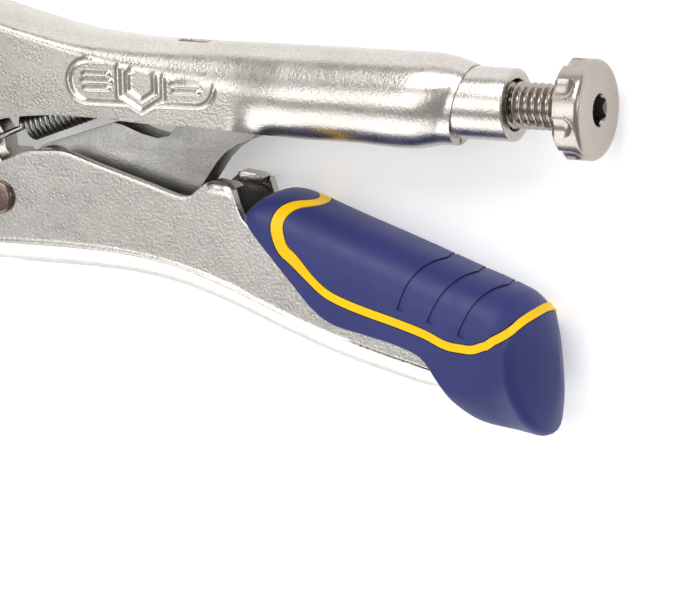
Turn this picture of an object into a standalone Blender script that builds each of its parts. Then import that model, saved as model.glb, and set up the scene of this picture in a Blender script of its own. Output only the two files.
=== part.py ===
"""Fast-release locking pliers with curved jaws, 10 inch class, lying on their side.

Every size here is in millimetres, and MM turns it into metres where a mesh is made.
X runs to the rear along the adjusting screw, Y from the lower handle to the upper one, and
Z through the thickness.  The origin is on the jaw pivot, at the face of its lower rivet head.
The pliers are locked: the knee of the link is just over centre.
"""
import math

import bmesh
import bpy
from mathutils import Matrix, Vector

MM = 0.001

# Fits: GAP keeps pieces that touch apart, RUN is the play at the sides of what turns.
GAP = 0.3
RUN = 0.3

# Sheet steel frame and lower handle.
SHEET = 2.0
BODY_WIDTH = 18.4
TUBE_RADIUS = 9.7
FRAME_FRONT = -21.0
TUBE_END = 130.5
MOUTH_ROUND = 3.6
MOUTH_DEPTH = 1.4
SEAM_WIDTH = 1.2
HANDLE_FRONT = 11.0
HANDLE_END = 126.0
HANDLE_CORNER = 4.7
WEB_START = 28.0
HANDLE_TOE = 7.0
WEB_OVERCUT = 0.05
LIP_LOW = (74.0, -16.8)
LIP_HIGH = (79.0, -15.1)
LIP_REACH = 3.0
LIP_SLOPE = -11.0

# Rivets and pins.
HEAD_HEIGHT = 2.8
JAW_PIN_RADIUS = 4.0
JAW_HEAD_RADIUS = 7.0
HANDLE_PIN_RADIUS = 2.3
HANDLE_HEAD_RADIUS = 3.6
HANDLE_HEAD_HEIGHT = 1.4
LINK_PIN_RADIUS = 2.5
LEVER_PIN_RADIUS = 1.8
UPPER_JAW_PIN_RADIUS = 2.0
UPPER_JAW_PINS = ((-14.0, 15.4), (3.0, 14.0))

# Pivots, seen from the side.
JAW_PIVOT = (0.0, 0.0)
HANDLE_PIVOT = (23.4, -20.7)
LINK_PIVOT = (34.1, -15.6)
LEVER_PIVOT = (88.5, -25.5)

# Adjusting screw, 3/8 inch by 16 turns to the inch, and its knob.
SCREW_AXIS = 4.0
SCREW_TIP = 92.0
THREAD_RADIUS = 4.76
THREAD_PITCH = 1.5875
THREAD_DEPTH = 0.95
COLLAR_START = 112.0
COLLAR_END = 139.9
KNOB_START = 151.0
KNOB_LENGTH = 7.0
KNOB_RADIUS = 10.2
KNOB_SCALLOPS = 8
SCALLOP_RADIUS = 3.0
SCALLOP_DEPTH = 0.8
SCALLOP_STOP = 1.7
SCALLOP_TURN = 12.0
SOCKET_FLATS = 6.0
SOCKET_DEPTH = 5.6
SOCKET_SINK = 0.5

# Jaws.
NOSE = -76.0
JAW_LUG_RADIUS = 9.0
JAW_BOSS_RADIUS = 5.2
TEETH = 13
TOOTH_DEPTH = 0.9
EAR_WIDTH = 5.0
EAR_RELIEF = ((12.5, -12.8), (24.5, -1.0))
SPRING_HOLE = (19.0, -9.6)
SPRING_HOLE_RADIUS = 1.4

# Link.
LINK_WIDTH = 6.5
LINK_EYE = 6.2
LINK_BOSS = 5.6
LINK_TIP_RADIUS = 4.2

# Spring.
WIRE = 1.25
COIL_RADIUS = 3.5
COIL_FRONT = (25.8, -6.9)
COIL_REAR = (54.5, 3.6)
TAB_X = 61.4
TAB_THICKNESS = 1.6
TAB_WIDTH = 4.0
TAB_TIP = 3.4
SLOT_LENGTH = 7.6

# Release lever and its moulded grip.
LEVER_WIDTH = 10.0
GRIP_WALL = 2.2
GRIP_PLAY = 0.6
GRIP_CROWN = 3.4
GRIP_ROUND = 4.5
ROUNDED_FROM = (83.0, -20.0)
ROUNDED_SLOPE = -0.36
ROUNDED_END = 141.0
STRIPE_WIDTH = 1.7
STRIPE_DEPTH = 1.4
GROOVES = ((123.6, -30.0), (129.4, -31.9), (135.0, -34.0))
GROOVE_WIDTH = 0.8
GROOVE_DEPTH = 0.9

# What follows from the sizes above.
MID = BODY_WIDTH / 2 + HEAD_HEIGHT
CHEEK_LOW = MID - BODY_WIDTH / 2
CHEEK_HIGH = MID + BODY_WIDTH / 2
INNER_HALF = BODY_WIDTH / 2 - SHEET
JAW_HALF = INNER_HALF - RUN
GRIP_INNER = BODY_WIDTH / 2 + GRIP_PLAY
GRIP_HALF = GRIP_INNER + GRIP_WALL
COLLAR_RADIUS = TUBE_RADIUS - SHEET - GAP

# Side outlines of the pressed parts, as (x, y) along their length.
FRAME_TOP = ((-21.0, 27.0), (-10.0, 26.6), (0.0, 25.0), (10.0, 22.0), (19.7, 19.0), (30.2, 16.5),
             (40.6, 14.6), (51.0, 13.8), (64.0, 13.5), (81.7, 13.6), (100.0, 13.7))
FRAME_BOTTOM = ((-21.0, 9.0), (-15.0, 0.5), (-8.0, -7.0), (0.0, -10.0), (8.0, -9.6), (16.0, -7.2),
                (24.1, -4.2), (34.7, -2.7), (45.2, -2.5), (60.7, -3.1), (78.5, -3.4), (100.0, -5.7))
HANDLE_TOP = ((11.0, -23.5), (12.5, -19.5), (17.5, -15.6), (23.7, -13.3), (29.9, -10.8),
              (39.7, -10.2), (45.6, -11.9), (59.8, -15.9), (67.4, -17.8), (70.5, -17.0),
              (73.8, -14.4), (79.3, -15.4), (80.2, -20.2), (83.0, -22.8), (90.0, -28.0),
              (100.0, -34.0), (110.0, -38.5), (120.0, -42.5), (126.0, -47.0))
HANDLE_BOTTOM = ((11.0, -35.0), (29.6, -34.9), (41.8, -34.9),
                 (53.9, -35.4), (65.8, -37.2), (77.6, -40.7), (89.2, -45.0), (100.7, -48.8),
                 (112.2, -51.8), (126.0, -54.9))

parts = bpy.data.collections.new("locking_pliers")
cutters = bpy.data.collections.new("cutters")


def clear_scene():
    for old in list(bpy.data.objects):
        bpy.data.objects.remove(old, do_unlink=True)
    bpy.context.scene.collection.children.link(parts)
    bpy.context.scene.collection.children.link(cutters)


def finish_material(name, colour, roughness, metallic):
    material = bpy.data.materials.new(name)
    material.use_nodes = True
    shader = material.node_tree.nodes["Principled BSDF"]
    shader.inputs["Base Color"].default_value = (*colour, 1.0)
    shader.inputs["Roughness"].default_value = roughness
    shader.inputs["Metallic"].default_value = metallic
    return material


def finished(piece, name, material):
    """Name a piece, give it its material and put it with the parts."""
    piece.name = name
    piece.data.name = name
    piece.data.materials.clear()
    piece.data.materials.append(material)
    for owner in list(piece.users_collection):
        owner.objects.unlink(piece)
    parts.objects.link(piece)
    piece.data.shade_smooth()
    piece.data.set_sharp_from_angle(angle=math.radians(35))
    return piece


def as_cutter(piece):
    for owner in list(piece.users_collection):
        owner.objects.unlink(piece)
    cutters.objects.link(piece)
    piece.hide_render = True
    piece.display_type = "WIRE"
    return piece


def combine(piece, tool, operation):
    modifier = piece.modifiers.new(operation.lower(), "BOOLEAN")
    modifier.operation = operation
    modifier.object = as_cutter(tool)
    return piece


def hinge_at(piece, pivot, z=MID):
    """Move a piece's origin to its joint's axis and leave its shape where it is."""
    origin = Vector((pivot[0] * MM, pivot[1] * MM, z * MM))
    piece.data.transform(Matrix.Translation(-origin))
    piece.location = origin


def arc(centre, radius, start, stop, steps):
    """Points on an arc, angles in degrees from the X axis."""
    turn = [math.radians(start + (stop - start) * k / steps) for k in range(steps + 1)]
    return [(centre[0] + radius * math.cos(a), centre[1] + radius * math.sin(a)) for a in turn]


def smooth_line(knots, x):
    """Height at x of the smooth line through knots, by Hermite pieces."""
    last = len(knots) - 1
    k = 0
    while k < last - 1 and x > knots[k + 1][0]:
        k += 1
    slope = []
    for j in (k, k + 1):
        before, after = knots[max(j - 1, 0)], knots[min(j + 1, last)]
        slope.append((after[1] - before[1]) / (after[0] - before[0]))
    (x0, y0), (x1, y1) = knots[k], knots[k + 1]
    span = x1 - x0
    t = (x - x0) / span
    return (y0 * (1 + 2 * t) * (1 - t) ** 2 + y1 * t * t * (3 - 2 * t)
            + span * (slope[0] * t * (1 - t) ** 2 - slope[1] * t * t * (1 - t)))


def mesh_object(name, maker):
    """An object whose mesh is what maker draws in a bmesh, in millimetres."""
    mesh = bpy.data.meshes.new(name)
    work = bmesh.new()
    maker(work)
    bmesh.ops.scale(work, vec=(MM, MM, MM), verts=work.verts)
    work.to_mesh(mesh)
    work.free()
    piece = bpy.data.objects.new(name, mesh)
    bpy.context.scene.collection.objects.link(piece)
    return piece


def cylinder(name, centre, radius, low, high, along="Z", sides=32):
    """A round bar from low to high along an axis; centre holds its other two places."""
    turn = {"X": Matrix.Rotation(math.pi / 2, 4, "Y"), "Z": Matrix.Identity(4)}[along]
    middle = (low + high) / 2
    place = (middle, *centre) if along == "X" else (*centre, middle)

    def maker(work):
        bmesh.ops.create_cone(work, cap_ends=True, segments=sides, radius1=radius, radius2=radius,
                              depth=high - low, matrix=Matrix.Translation(place) @ turn)
    return mesh_object(name, maker)


def block(name, low, high, slope=0.0):
    """A box between two corners, tilted about Z by slope degrees around its centre."""
    size = [b - a for a, b in zip(low, high)]
    centre = Vector([(a + b) / 2 for a, b in zip(low, high)])
    place = Matrix.Translation(centre) @ Matrix.Rotation(math.radians(slope), 4, "Z")

    def maker(work):
        bmesh.ops.create_cube(work, size=1.0, matrix=place @ Matrix.Diagonal((*size, 1.0)))
    return mesh_object(name, maker)


def as_mesh(curve_object, name):
    """The curve object as one welded mesh, in the same place."""
    bpy.context.view_layer.update()
    evaluated = curve_object.evaluated_get(bpy.context.evaluated_depsgraph_get())
    mesh = bpy.data.meshes.new_from_object(evaluated)
    work = bmesh.new()
    work.from_mesh(mesh)
    bmesh.ops.remove_doubles(work, verts=work.verts, dist=0.00001)
    bmesh.ops.recalc_face_normals(work, faces=work.faces)
    work.to_mesh(mesh)
    work.free()
    piece = bpy.data.objects.new(name, mesh)
    piece.matrix_world = curve_object.matrix_world.copy()
    bpy.context.scene.collection.objects.link(piece)
    bpy.data.objects.remove(curve_object, do_unlink=True)
    return piece


def plate(name, outline, low, high):
    """A flat piece with the given side outline, from low to high in Z."""
    curve = bpy.data.curves.new(name, "CURVE")
    curve.dimensions = "2D"
    curve.fill_mode = "BOTH"
    curve.extrude = (high - low) / 2 * MM
    spline = curve.splines.new("POLY")
    spline.points.add(len(outline) - 1)
    for point, (x, y) in zip(spline.points, outline):
        point.co = (x * MM, y * MM, 0.0, 1.0)
    spline.use_cyclic_u = True
    flat = bpy.data.objects.new(name, curve)
    flat.location = (0.0, 0.0, (low + high) / 2 * MM)
    bpy.context.scene.collection.objects.link(flat)
    piece = as_mesh(flat, name)
    piece.data.transform(Matrix.Translation(piece.location))
    piece.location = (0.0, 0.0, 0.0)
    return piece


def rod(name, points, radii):
    """A wire or tube along points; its radius may change from point to point."""
    curve = bpy.data.curves.new(name, "CURVE")
    curve.dimensions = "3D"
    curve.bevel_depth = MM
    curve.bevel_resolution = 2
    curve.use_fill_caps = True
    spline = curve.splines.new("POLY")
    spline.points.add(len(points) - 1)
    for point, place, radius in zip(spline.points, points, radii):
        point.co = (*(c * MM for c in place), 1.0)
        point.radius = radius
    wire = bpy.data.objects.new(name, curve)
    bpy.context.scene.collection.objects.link(wire)
    return as_mesh(wire, name)


def turned(name, profile, place, along="Z", steps=32):
    """A solid of revolution; profile is (radius, height) from the top down."""
    def maker(work):
        row = [work.verts.new((r, 0.0, h)) for r, h in profile]
        for a, b in zip(row, row[1:]):
            work.edges.new((a, b))
    piece = mesh_object(name, maker)
    screw = piece.modifiers.new("turn", "SCREW")
    screw.axis = "Z"
    screw.steps = steps
    screw.render_steps = steps
    screw.use_merge_vertices = True
    screw.merge_threshold = 0.00001
    piece.location = [c * MM for c in place]
    if along == "X":
        piece.rotation_euler = (0.0, math.pi / 2, 0.0)
    return piece


def sheet(name, sections):
    """Sheet metal: a skin through the sections, thickened inwards."""
    def maker(work):
        rows = [[work.verts.new(point) for point in section] for section in sections]
        for row, after in zip(rows, rows[1:]):
            for k in range(len(row) - 1):
                work.faces.new((row[k], after[k], after[k + 1], row[k + 1]))
    piece = mesh_object(name, maker)
    solid = piece.modifiers.new("sheet", "SOLIDIFY")
    solid.thickness = SHEET * MM
    solid.offset = -1.0
    solid.use_even_offset = True
    return piece


def rivet(name, pivot, shank, head, height, material):
    """A shank through both cheeks with a chamfered head outside each."""
    chamfer = height / 2
    top = CHEEK_HIGH + height
    seat = CHEEK_HIGH + GAP
    half = [(0.0, top), (head - chamfer, top), (head, top - chamfer), (head, seat), (shank, seat)]
    profile = half + [(r, 2 * MID - h) for r, h in reversed(half)]
    return finished(turned(name, profile, (*pivot, 0.0)), name, material)


def drill(piece, pivot, radius):
    """A hole right through in Z."""
    hole = cylinder(piece.name + "_hole", pivot, radius, -1.0, 2 * MID + 1.0)
    return combine(piece, hole, "DIFFERENCE")


def blend_in(x, start, stop):
    t = min(max((x - start) / (stop - start), 0.0), 1.0)
    return t * t * (3 - 2 * t)


def frame_section(x):
    """One section of the frame: an open channel in front that closes to a tube behind."""
    tube = blend_in(x, 78.5, 91.5)
    half = BODY_WIDTH / 2 + (TUBE_RADIUS - BODY_WIDTH / 2) * tube
    top = smooth_line(FRAME_TOP, x) if x < 100.0 else SCREW_AXIS + TUBE_RADIUS
    bottom = smooth_line(FRAME_BOTTOM, x) if x < 91.5 else SCREW_AXIS - TUBE_RADIUS
    shoulder = top - half
    steps_up, steps_down = 8, 7
    side = []
    last_angle = math.pi / 2 - math.asin(SEAM_WIDTH / 2 / half)
    for k in range(steps_down, 0, -1):
        share = k / steps_down
        straight = Vector((half, shoulder + (bottom - shoulder) * share))
        angle = last_angle * share
        rolled = Vector((half * math.cos(angle), shoulder - half * math.sin(angle)))
        side.append(straight.lerp(rolled, tube))
    for k in range(steps_up + 1):
        angle = math.pi / 2 * k / steps_up
        side.append(Vector((half * math.cos(angle), shoulder + half * math.sin(angle))))
    near = [(x, y, MID + z) for z, y in side]
    far = [(x, y, MID - z) for z, y in side[-2::-1]]
    return near + far


def frame_shell(material):
    """The pressed frame: cheeks, spring tab, and the tube that is rolled shut underneath."""
    stations = [FRAME_FRONT, -17.0, -12.5, -8.0, -4.0, 0.0, 5.0, 11.0, 18.0, 25.0, 33.0, 42.0, 52.0,
                64.0, 78.5, 81.0, 83.0, 85.0, 87.0, 89.0, 91.5, 106.0, TUBE_END]
    shell = sheet("frame_shell", [frame_section(x) for x in stations])
    slot = block("tab_slot", (TAB_X + TAB_THICKNESS, 4.0, MID - TAB_WIDTH / 2),
                 (TAB_X + TAB_THICKNESS + SLOT_LENGTH, 16.0, MID + TAB_WIDTH / 2))
    combine(shell, slot, "DIFFERENCE")
    tab_top = smooth_line(FRAME_TOP, TAB_X) - SHEET / 2
    tab = block("tab", (TAB_X, TAB_TIP, MID - TAB_WIDTH / 2),
                (TAB_X + TAB_THICKNESS, tab_top, MID + TAB_WIDTH / 2))
    combine(shell, tab, "UNION")
    inner, outer = TUBE_RADIUS - MOUTH_DEPTH, TUBE_RADIUS + 1.0
    rim = [(outer, 1.0), (inner, 1.0), (inner, 0.0), (inner + MOUTH_DEPTH * 0.6, -MOUTH_ROUND * 0.4),
           (TUBE_RADIUS, -MOUTH_ROUND), (outer, -MOUTH_ROUND), (outer, 1.0)][::-1]
    combine(shell, turned("mouth_rim", rim, (TUBE_END, SCREW_AXIS, MID), "X"), "DIFFERENCE")
    drill(shell, JAW_PIVOT, JAW_PIN_RADIUS + GAP)
    for pivot in UPPER_JAW_PINS:
        drill(shell, pivot, UPPER_JAW_PIN_RADIUS + GAP)
    return finished(shell, "frame_shell", material)


def toothed(start, middle, stop, count, depth):
    """Teeth along the arc through three points; depth is positive to the left of the way."""
    ax, ay = start
    bx, by = middle
    cx, cy = stop
    span = 2 * (ax * (by - cy) + bx * (cy - ay) + cx * (ay - by))
    a2, b2, c2 = ax * ax + ay * ay, bx * bx + by * by, cx * cx + cy * cy
    centre = Vector(((a2 * (by - cy) + b2 * (cy - ay) + c2 * (ay - by)) / span,
                     (a2 * (cx - bx) + b2 * (ax - cx) + c2 * (bx - ax)) / span))
    radius = (Vector(start) - centre).length
    first = math.atan2(ay - centre.y, ax - centre.x)
    last = math.atan2(cy - centre.y, cx - centre.x)
    turn = (last - first + math.pi) % (2 * math.pi) - math.pi
    points = []
    for k in range(2 * count + 1):
        angle = first + turn * k / (2 * count)
        reach = radius - depth if k % 2 else radius
        points.append((centre.x + reach * math.cos(angle), centre.y + reach * math.sin(angle)))
    return points


def upper_jaw(material):
    """Forged jaw, held between the cheeks by two flush pins."""
    inside = [(x, smooth_line(FRAME_TOP, x) - SHEET - INNER_HALF - GAP) for x in (8.0, 0.0, -10.0)]
    front = FRAME_FRONT - GAP
    outline = arc(JAW_PIVOT, JAW_LUG_RADIUS + 1.2, 50, 132, 8)
    outline += [(-13.0, 8.6), (-21.0, 9.2), (-22.0, 11.6)]
    outline += toothed((-23.0, 11.2), (-46.0, 15.4), (-71.0, 9.0), TEETH, -TOOTH_DEPTH)
    outline += [(NOSE + 1.0, 8.6), (NOSE, 10.4), (-73.5, 15.6), (-66.0, 20.8), (-55.0, 24.8),
                (-42.0, 26.9), (-30.0, 27.4), (front, 26.9), (front, 18.0)]
    jaw = plate("upper_jaw", outline + inside[::-1] + [(9.0, 12.0)], MID - JAW_HALF, MID + JAW_HALF)
    for pivot in UPPER_JAW_PINS:
        drill(jaw, pivot, UPPER_JAW_PIN_RADIUS + GAP)
    return finished(jaw, "upper_jaw", material)


def lower_jaw(material):
    """Forged bell crank: pivot lug, toothed arm, handle boss, and the spring's ear."""
    boss = arc(HANDLE_PIVOT, JAW_BOSS_RADIUS, -85, 62, 10)
    ear = [(23.0, -13.6), (21.3, -11.6), (20.9, -8.2), (19.6, -6.2), (15.5, -5.6), (10.4, -3.6)]
    lug = arc(JAW_PIVOT, JAW_LUG_RADIUS, 5, 165, 14)
    outline = boss + ear + lug
    outline += [(-14.0, -1.6), (-21.0, -2.4), (-22.0, -4.6)]
    outline += toothed((-23.0, -4.4), (-46.0, -8.4), (-71.0, -3.2), TEETH, TOOTH_DEPTH)
    outline += [(NOSE + 1.0, -3.0), (NOSE, -4.8), (-73.5, -10.0), (-64.0, -17.0), (-50.0, -22.6),
                (-34.0, -25.8), (-16.0, -27.2), (0.0, -27.0), (12.0, -27.0)]
    jaw = plate("lower_jaw", outline, MID - JAW_HALF, MID + JAW_HALF)
    for side in (-1, 1):
        near, far = sorted((MID + side * EAR_WIDTH / 2, MID + side * (JAW_HALF + 1.0)))
        relief = block("ear_relief", (*EAR_RELIEF[0], near), (*EAR_RELIEF[1], far))
        combine(jaw, relief, "DIFFERENCE")
    drill(jaw, SPRING_HOLE, SPRING_HOLE_RADIUS)
    drill(jaw, JAW_PIVOT, JAW_PIN_RADIUS + GAP)
    drill(jaw, HANDLE_PIVOT, HANDLE_PIN_RADIUS + GAP)
    hinge_at(jaw, JAW_PIVOT)
    return finished(jaw, "lower_jaw", material)


def opening_spring(material):
    """Extension spring as its outer shape, hooked through the jaw's ear and round the tab."""
    wire = WIRE / 2
    beside_ear = MID + EAR_WIDTH / 2 + GAP + wire
    beside_tab = MID + TAB_WIDTH / 2 + GAP + wire
    way = (Vector(COIL_REAR) - Vector(COIL_FRONT)).normalized() * 1.6
    behind_tab = TAB_X + TAB_THICKNESS + GAP + wire
    hook_y = TAB_TIP + 2.0
    points = [(*SPRING_HOLE, MID - EAR_WIDTH / 2 - 1.0), (*SPRING_HOLE, beside_ear),
              (COIL_FRONT[0] - way.x * 1.4, COIL_FRONT[1] - way.y * 1.4, beside_ear),
              (COIL_FRONT[0] - way.x * 0.6, COIL_FRONT[1] - way.y * 0.6, MID + 1.4), (*COIL_FRONT, MID),
              (*COIL_REAR, MID), (COIL_REAR[0] + way.x, COIL_REAR[1] + way.y, MID + 1.0),
              (TAB_X - 0.6, hook_y, beside_tab), (behind_tab, hook_y, beside_tab),
              (behind_tab + 0.3, hook_y, beside_tab - 0.9), (behind_tab, hook_y, MID - TAB_WIDTH / 2)]
    radii = [wire] * 4 + [COIL_RADIUS] * 2 + [wire] * 5
    return finished(rod("opening_spring", points, radii), "opening_spring", material)


def collar(material):
    """Threaded sleeve, pressed into the rear of the tube."""
    bore = THREAD_RADIUS + RUN
    length = COLLAR_END - COLLAR_START
    edge = 0.6
    profile = [(bore, length), (COLLAR_RADIUS - edge, length), (COLLAR_RADIUS, length - edge),
               (COLLAR_RADIUS, 0.0), (bore, 0.0), (bore, length)]
    piece = turned("threaded_collar", profile, (COLLAR_START, SCREW_AXIS, MID), "X")
    return finished(piece, "threaded_collar", material)


def adjusting_screw(material):
    """Threaded shank, drawn as rings at the thread's pitch, with a plain tail inside the knob."""
    neck = KNOB_START + GAP
    profile = [(0.0, neck - SCREW_TIP), (THREAD_RADIUS - THREAD_DEPTH, neck - SCREW_TIP)]
    exposed = COLLAR_END - THREAD_PITCH
    x = KNOB_START - THREAD_PITCH / 2
    while x > exposed:
        profile.append((THREAD_RADIUS - THREAD_DEPTH, x + THREAD_PITCH / 2 - SCREW_TIP))
        profile.append((THREAD_RADIUS, x - SCREW_TIP))
        x -= THREAD_PITCH
    profile += [(THREAD_RADIUS, x + THREAD_PITCH * 0.8 - SCREW_TIP), (THREAD_RADIUS, 1.0),
                (THREAD_RADIUS - 1.0, 0.0), (0.0, 0.0)]
    piece = turned("adjusting_screw", profile, (SCREW_TIP, SCREW_AXIS, MID), "X")
    return finished(piece, "adjusting_screw", material)


def screw_knob(material):
    """Knob with scallops that stop short of its end, and a hexagon socket."""
    start = KNOB_START + 2 * GAP
    end = start + KNOB_LENGTH - 2 * GAP
    length = end - start
    edge = 1.0
    profile = [(0.0, length), (KNOB_RADIUS - edge, length), (KNOB_RADIUS, length - edge),
               (KNOB_RADIUS, edge), (KNOB_RADIUS - edge, 0.0), (0.0, 0.0)]
    knob = turned("screw_knob", profile, (start, SCREW_AXIS, MID), "X", 48)
    reach = KNOB_RADIUS + SCALLOP_RADIUS - SCALLOP_DEPTH
    for k in range(KNOB_SCALLOPS):
        angle = math.radians(SCALLOP_TURN) + 2 * math.pi * k / KNOB_SCALLOPS
        centre = (SCREW_AXIS + reach * math.cos(angle), MID + reach * math.sin(angle))
        scallop = cylinder("scallop", centre, SCALLOP_RADIUS, start - 1.0, end - SCALLOP_STOP, "X", 24)
        combine(knob, scallop, "DIFFERENCE")
    middle = (SCREW_AXIS, MID)
    corner = SOCKET_FLATS / math.sqrt(3)
    combine(knob, cylinder("socket", middle, corner, end - SOCKET_DEPTH, end + 1.0, "X", 6), "DIFFERENCE")
    combine(knob, cylinder("sink", middle, corner + 0.2, end - SOCKET_SINK, end + 1.0, "X"), "DIFFERENCE")
    return finished(knob, "screw_knob", material)


def handle_section(x):
    """One section of the lower handle: a channel that is closed underneath."""
    half = BODY_WIDTH / 2
    top, bottom = smooth_line(HANDLE_TOP, x), smooth_line(HANDLE_BOTTOM, x)
    corner = min(HANDLE_CORNER, (top - bottom) * 0.45)
    side = [(half, top), (half, (top + bottom + corner) / 2)]
    for k in range(5):
        angle = math.pi / 2 * k / 4
        side.append((half - corner * (1 - math.cos(angle)), bottom + corner * (1 - math.sin(angle))))
    near = [(x, y, MID + z) for z, y in side]
    far = [(x, y, MID - z) for z, y in side[::-1]]
    return near + far


def lower_handle(material):
    """The pressed lower handle, its cheeks bent in to a lip on each side."""
    stations = [HANDLE_FRONT, 12.5, 14.5, 17.5, 23.7, 30.0, 36.0, 42.0, 50.0, 59.8, 65.0, 67.4, 69.3,
                70.8, 72.3, 73.8, 76.5, 79.3, 79.7, 80.2, 81.5, 84.5, 90.0, 100.0, 112.0, HANDLE_END]
    handle = sheet("lower_handle", [handle_section(x) for x in stations][::-1])
    for side in (-1, 1):
        near, far = sorted((MID + side * (INNER_HALF - LIP_REACH), MID + side * (INNER_HALF + 1.0)))
        lip = block("lip", (*LIP_LOW, near), (*LIP_HIGH, far), LIP_SLOPE)
        combine(handle, lip, "UNION")
    reach = INNER_HALF + WEB_OVERCUT
    web_cut = block("web_cut", (HANDLE_FRONT - 2.0, -40.0, MID - reach),
                    (WEB_START, HANDLE_PIVOT[1] - JAW_BOSS_RADIUS, MID + reach))
    combine(handle, web_cut, "DIFFERENCE")
    toe = (HANDLE_FRONT + HANDLE_TOE, HANDLE_BOTTOM[0][1] + HANDLE_TOE)
    corner = arc(toe, HANDLE_TOE, 180, 270, 8)
    corner += [(toe[0], toe[1] - HANDLE_TOE - 2.0), (HANDLE_FRONT - 2.0, toe[1] - HANDLE_TOE - 2.0)]
    corner += [(HANDLE_FRONT - 2.0, toe[1])]
    combine(handle, plate("toe_round", corner, -1.0, 2 * MID + 1.0), "DIFFERENCE")
    drill(handle, HANDLE_PIVOT, HANDLE_PIN_RADIUS + GAP)
    drill(handle, LINK_PIVOT, LINK_PIN_RADIUS + GAP)
    drill(handle, LEVER_PIVOT, LEVER_PIN_RADIUS + GAP)
    hinge_at(handle, HANDLE_PIVOT)
    return finished(handle, "lower_handle", material)


def link(material):
    """The toggle link: eye, knee, and the tip that the screw bears on."""
    tip = (SCREW_TIP - GAP - 1.0 - LINK_TIP_RADIUS, SCREW_AXIS)
    outline = arc(LINK_PIVOT, LINK_EYE, 110, 268, 12)
    outline += [(45.0, -22.4), (58.0, -22.0), (63.5, -20.9), (66.4, -19.0), (68.6, -16.8),
                (70.6, -14.0), (72.6, -11.2), (74.8, -9.0), (77.8, -7.2), (81.0, -6.0), (84.4, -1.8)]
    outline += arc(tip, LINK_TIP_RADIUS, -80, 90, 8)
    outline += [(78.0, 7.4), (70.0, 3.6), (63.5, -4.2), (61.4, -6.4), (58.6, -7.1), (55.0, -6.4),
                (50.4, -4.8), (48.4, -4.4)]
    piece = plate("link", outline, MID - LINK_WIDTH / 2, MID + LINK_WIDTH / 2)
    boss = cylinder("link_boss", LINK_PIVOT, LINK_BOSS, MID - JAW_HALF, MID + JAW_HALF)
    combine(piece, boss, "UNION")
    drill(piece, LINK_PIVOT, LINK_PIN_RADIUS + GAP)
    hinge_at(piece, LINK_PIVOT)
    return finished(piece, "link", material)


def grip_outline():
    """Side outline of the grip: crown, flat tail end, hooked tail, skirt and nose."""
    crown = [(83.2, -18.4), (85.0, -16.8), (88.5, -16.8), (92.3, -17.7), (99.2, -19.9),
             (112.9, -24.4), (126.4, -29.0), (135.3, -31.8), (141.0, -33.8)]
    tail = [(143.4, -36.6), (145.2, -43.0), (147.2, -50.5), (148.5, -57.0), (149.0, -61.0),
            (147.6, -63.4), (144.0, -63.6), (138.0, -61.0), (133.0, -58.2), (129.4, -55.0),
            (126.6, -51.0), (124.4, -47.8), (121.0, -45.7)]
    skirt = [(112.0, -43.6), (104.0, -42.0), (100.6, -40.6), (98.0, -38.0), (90.4, -29.7),
             (86.0, -24.8), (83.8, -22.2), (83.0, -20.0)]
    return crown + tail + skirt


def grip_cavity():
    """Where the grip is open over the handle: under the crown, ahead of the tail."""
    crown = [(80.0, -16.0), (86.0, -16.8 - GRIP_CROWN), (92.3, -17.7 - GRIP_CROWN),
             (112.9, -24.4 - GRIP_CROWN), (131.0, -30.6 - GRIP_CROWN)]
    return crown + [(131.5, -40.0), (131.5, -70.0), (80.0, -70.0)]


def stripe_ribbon(extra):
    """The stripe's way on the grip's side, as a closed ribbon widened by extra on each side."""
    way = [(104.5, -14.0), (100.5, -16.9), (95.5, -17.1), (92.2, -18.6), (90.6, -20.6), (90.1, -23.2),
           (91.3, -25.6), (95.2, -29.6), (98.9, -33.0), (102.0, -34.8), (108.8, -36.7),
           (117.9, -39.1), (126.8, -41.7), (134.6, -44.4), (138.6, -44.2), (144.2, -39.6),
           (152.0, -33.0)]
    half = STRIPE_WIDTH / 2 + extra
    left, right = [], []
    for k, place in enumerate(way):
        before, after = Vector(way[max(k - 1, 0)]), Vector(way[min(k + 1, len(way) - 1)])
        across = (after - before).normalized().orthogonal() * half
        left.append(tuple(Vector(place) + across))
        right.append(tuple(Vector(place) - across))
    return left + right[::-1]


def shrunk(outline, inset):
    """The outline moved inwards by inset; the points run clockwise."""
    moved = []
    count = len(outline)
    for k, place in enumerate(outline):
        before, after = Vector(outline[k - 1]), Vector(outline[(k + 1) % count])
        across = Vector((after.y - before.y, before.x - after.x)).normalized()
        moved.append(tuple(Vector(place) + across * inset))
    return moved


def grip_solid(name):
    """The grip's outer shape with its crown edges rounded."""
    solid = plate(name, grip_outline(), MID - GRIP_HALF, MID + GRIP_HALF)
    work = bmesh.new()
    work.from_mesh(solid.data)
    bmesh.ops.dissolve_limit(work, angle_limit=0.001, verts=work.verts, edges=work.edges)
    rims = []
    for edge in work.edges:
        a, b = (v.co / MM for v in edge.verts)
        on_side = abs(a.z - b.z) < 0.01
        high = min(a.y - skirt_line(a.x), b.y - skirt_line(b.x)) > 0.0
        if on_side and high:
            rims.append(edge)
    bmesh.ops.bevel(work, geom=rims, offset=GRIP_ROUND * MM, segments=3, profile=0.5,
                    affect="EDGES", clamp_overlap=True)
    work.to_mesh(solid.data)
    work.free()
    return solid


def skirt_line(x):
    """A line just under the crown's edge: the grip's rims above it are rounded."""
    if x > ROUNDED_END:
        return -math.inf
    return ROUNDED_FROM[1] + (x - ROUNDED_FROM[0]) * ROUNDED_SLOPE


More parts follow.
